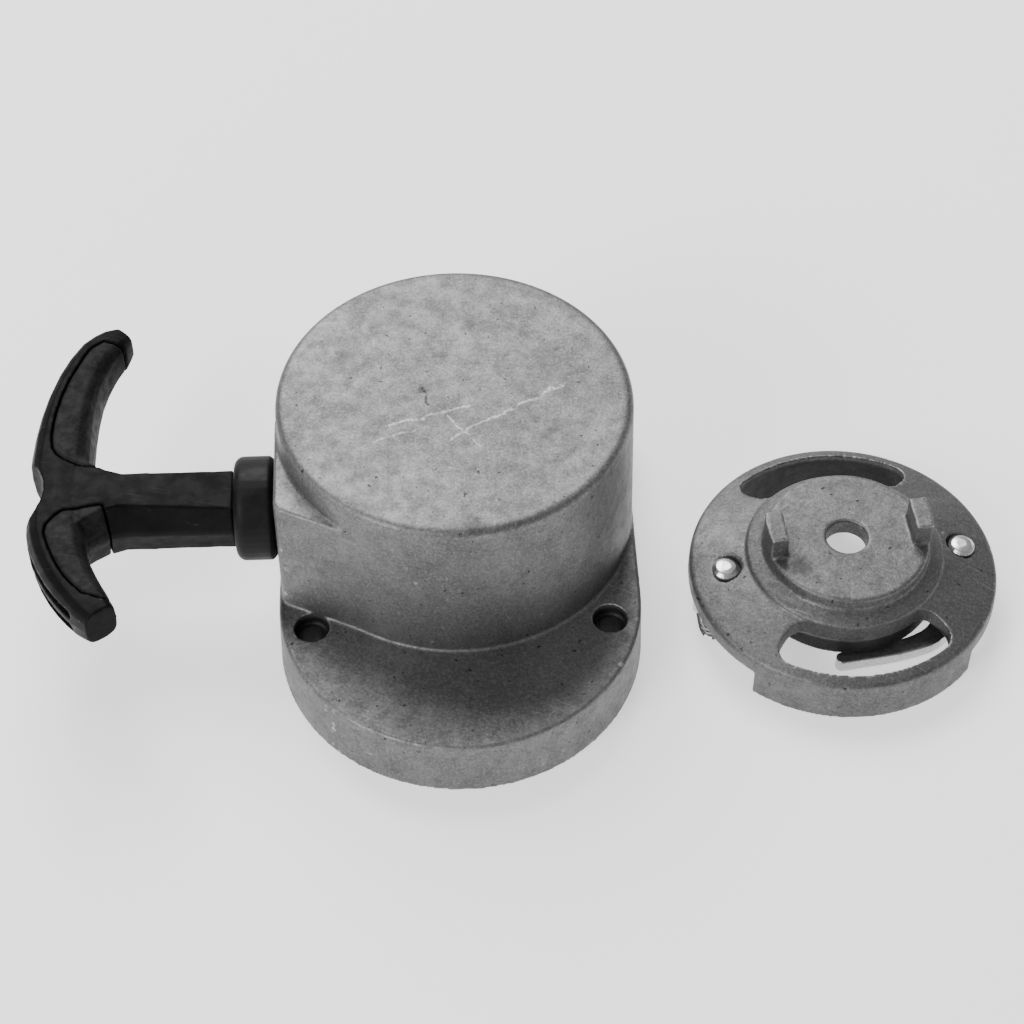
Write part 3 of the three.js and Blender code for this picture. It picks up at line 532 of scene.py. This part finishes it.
def made_round(mesh, axis, facets, phase=0.0, reach=(0.0, 1.0), top=1.0):
    """Takes the flats off the surfaces that the CAD part turns about an upright axis."""
    points = read(mesh, "co")
    normals = read(mesh, "normal")
    offset = points[:, :2] - np.array(axis)
    radius = np.hypot(*offset.T)
    level = np.hypot(normals[:, 0], normals[:, 1])
    facing = np.abs((normals[:, :2] * offset).sum(axis=1)) / np.maximum(radius * level, 1e-9)
    turned = (level > LEAST_LEAN) & (facing > LEAST_FACING) & (radius > reach[0]) & (radius < reach[1])
    turned &= points[:, 2] < top
    pitch = 2 * math.pi / facets
    aside = (np.arctan2(offset[:, 1], offset[:, 0]) - phase) % pitch - pitch / 2
    swell = np.where(turned, np.cos(aside) / math.cos(pitch / 2), 1.0)
    points[:, :2] = np.array(axis) + offset * swell[:, None]
    points = points.clip(*CAD_BOX)
    mesh.vertices.foreach_set("co", points.astype(np.float32).ravel())
    mesh.update()


def soft_edged(name, mesh, passes):
    """Relaxes a dense mesh so that its edges and corners soften, and shows it for its node."""
    mesh.shade_smooth()
    piece = stand_in(name, mesh)
    smooth = piece.modifiers.new("relax", "SMOOTH")
    smooth.iterations = passes
    smooth.factor = 0.5
    return piece


def moulded(name, kind):
    voxel, passes = SKIN[kind]
    return soft_edged(name, skinned(name, voxel), passes)


def housing():
    voxel, passes = SKIN["housing"]
    mesh = skinned("housing", voxel)
    made_round(mesh, CAN_AXIS, CAN_FACETS)
    near_nose = (NOSE_RADIUS - 2 * MM, NOSE_RADIUS + 2 * MM)
    made_round(mesh, NOSE_AXIS, NOSE_FACETS, reach=near_nose, top=FLANGE_TOP)
    soft_edged("housing", mesh, passes)


def drive_hub():
    voxel, passes = SKIN["drive_hub"]
    mesh = skinned("drive_hub", voxel)
    made_round(mesh, HUB_AXIS, HUB_FACETS, HUB_TURN)
    soft_edged("drive_hub", mesh, passes)


def route_points(route, spacing):
    """Even points along straight legs of the rope, with the corners taken off."""
    corners = [Vector(point) * MM for point in route]
    for _ in range(3):
        cut = [corners[0]]
        for a, b in zip(corners, corners[1:]):
            cut += [a.lerp(b, 0.25), a.lerp(b, 0.75)]
        corners = cut + [corners[-1]]
    points = [corners[0]]
    for a, b in zip(corners, corners[1:]):
        count = max(1, round((b - a).length / spacing))
        points += [a.lerp(b, i / count) for i in range(1, count + 1)]
    return points


def rope_points():
    """The rope's route, with extra points where it stretches between the eyelet and the collar."""
    points = route_points(ROPE_ROUTE, ROPE_SPACING)
    y, z = points[-1].y, points[-1].z
    near, far = (x * MM for x in ROPE_GAP)
    gap = [Vector((near + (far - near) * i / GAP_STEPS, y, z)) for i in range(GAP_STEPS + 1)]
    before = [p for p in points if p.x > near]
    after = [p for p in points if p.x < far]
    return before + gap + after


def braid_reach(angle, travel):
    """The rope's radius at an angle and a distance along it, raised on two sets of strands."""
    left = math.sin(STRANDS * angle + travel / STRAND_PITCH)
    right = math.sin(STRANDS * angle - travel / STRAND_PITCH)
    return ROPE_RADIUS * (0.93 + 0.06 * max(left, right))


def braided_tube(points):
    """A closed tube along the points, with the braid in its shape."""
    work = bmesh.new()
    rings = []
    travel = 0.0
    for i, point in enumerate(points):
        before = points[max(i - 1, 0)]
        ahead = (points[min(i + 1, len(points) - 1)] - before).normalized()
        side = ahead.cross(Vector((0, 0, 1))).normalized()
        up = side.cross(ahead)
        travel += (point - before).length
        angles = [2 * math.pi * k / ROPE_SIDES for k in range(ROPE_SIDES)]
        rings.append([
            work.verts.new(point + (side * math.cos(a) + up * math.sin(a)) * braid_reach(a, travel))
            for a in angles
        ])
    for a, b in zip(rings, rings[1:]):
        for k in range(ROPE_SIDES):
            work.faces.new((a[k - 1], a[k], b[k], b[k - 1]))
    work.faces.new(rings[0])
    work.faces.new(reversed(rings[-1]))
    bmesh.ops.recalc_face_normals(work, faces=work.faces)
    mesh = bpy.data.meshes.new("rope_run_fine")
    work.to_mesh(mesh)
    work.free()
    mesh.shade_smooth()
    return mesh


def rope():
    """The rope, with closely spaced points where it runs between the eyelet and the collar."""
    points = rope_points()
    mesh = braided_tube(points)
    mesh.materials.append(MATERIALS["rope"])
    piece = bpy.data.objects.new("rope_run_fine", mesh)
    bpy.context.scene.collection.objects.link(piece)
    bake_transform(piece)
    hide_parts("rope_run")


def paint_cad_nodes():
    """Every CAD node still showing gets its slot's material."""
    for name, node in frame["nodes"].items():
        node.data.materials.clear()
        node.data.materials.append(MATERIALS[SLOT_OF[name]])


def build_pieces():
    paint_cad_nodes()
    housing()
    drive_hub()
    moulded("handle_body", "handle_body")
    moulded("grip_pad_1", "grip_pad")
    moulded("grip_pad_2", "grip_pad")
    moulded("handle_collar", "handle_collar")
    rope()
    for index in (1, 2):
        moulded(f"pawl_{index}", "pawl")
        moulded(f"pawl_pin_{index}", "pawl_pin")


# ---- stage ----

def floor():
    mesh = bpy.data.meshes.new("floor")
    side = FLOOR_HALF_SIDE
    corners = [(-side, -side, 0), (side, -side, 0), (side, side, 0), (-side, side, 0)]
    mesh.from_pydata(corners, [], [(0, 1, 2, 3)])
    plane = bpy.data.objects.new("floor", mesh)
    bpy.context.scene.collection.objects.link(plane)
    material, tree, shader = new_material("pale_floor", roughness=0.9)
    tone = step(tree, grain(tree, 3.0, 2.0), 0.3, 0.7)
    connect(tree, shader, blend(tree, tone, grey(0.78), grey(0.8)))
    shader.inputs["Emission Color"].default_value = (1, 1, 1, 1)
    shader.inputs["Emission Strength"].default_value = FLOOR_GLOW
    mesh.materials.append(material)


def soft_light(name, spot_at, size, power):
    data = bpy.data.lights.new(name, "AREA")
    data.shape = "DISK"
    data.size = size
    data.energy = power
    lamp = bpy.data.objects.new(name, data)
    lamp.location = spot_at
    lamp.rotation_euler = (-Vector(spot_at)).to_track_quat("-Z", "Y").to_euler()
    bpy.context.scene.collection.objects.link(lamp)


def studio():
    floor()
    world = bpy.data.worlds.new("studio")
    world.use_nodes = True
    world.node_tree.nodes["Background"].inputs["Color"].default_value = (1, 1, 1, 1)
    world.node_tree.nodes["Background"].inputs["Strength"].default_value = WORLD_STRENGTH
    bpy.context.scene.world = world
    for name, (spot_at, size, power) in LIGHTS.items():
        soft_light(name, spot_at, size, power)


def camera():
    data = bpy.data.cameras.new("camera")
    data.lens = CAMERA["lens"]
    data.sensor_width = 36
    made = bpy.data.objects.new("camera", data)
    made.location = CAMERA["place"]
    made.rotation_euler = (math.radians(CAMERA["tilt"]), 0, math.radians(CAMERA["turn"]))
    bpy.context.scene.collection.objects.link(made)
    bpy.context.scene.camera = made


camera()
studio()
build_pieces()
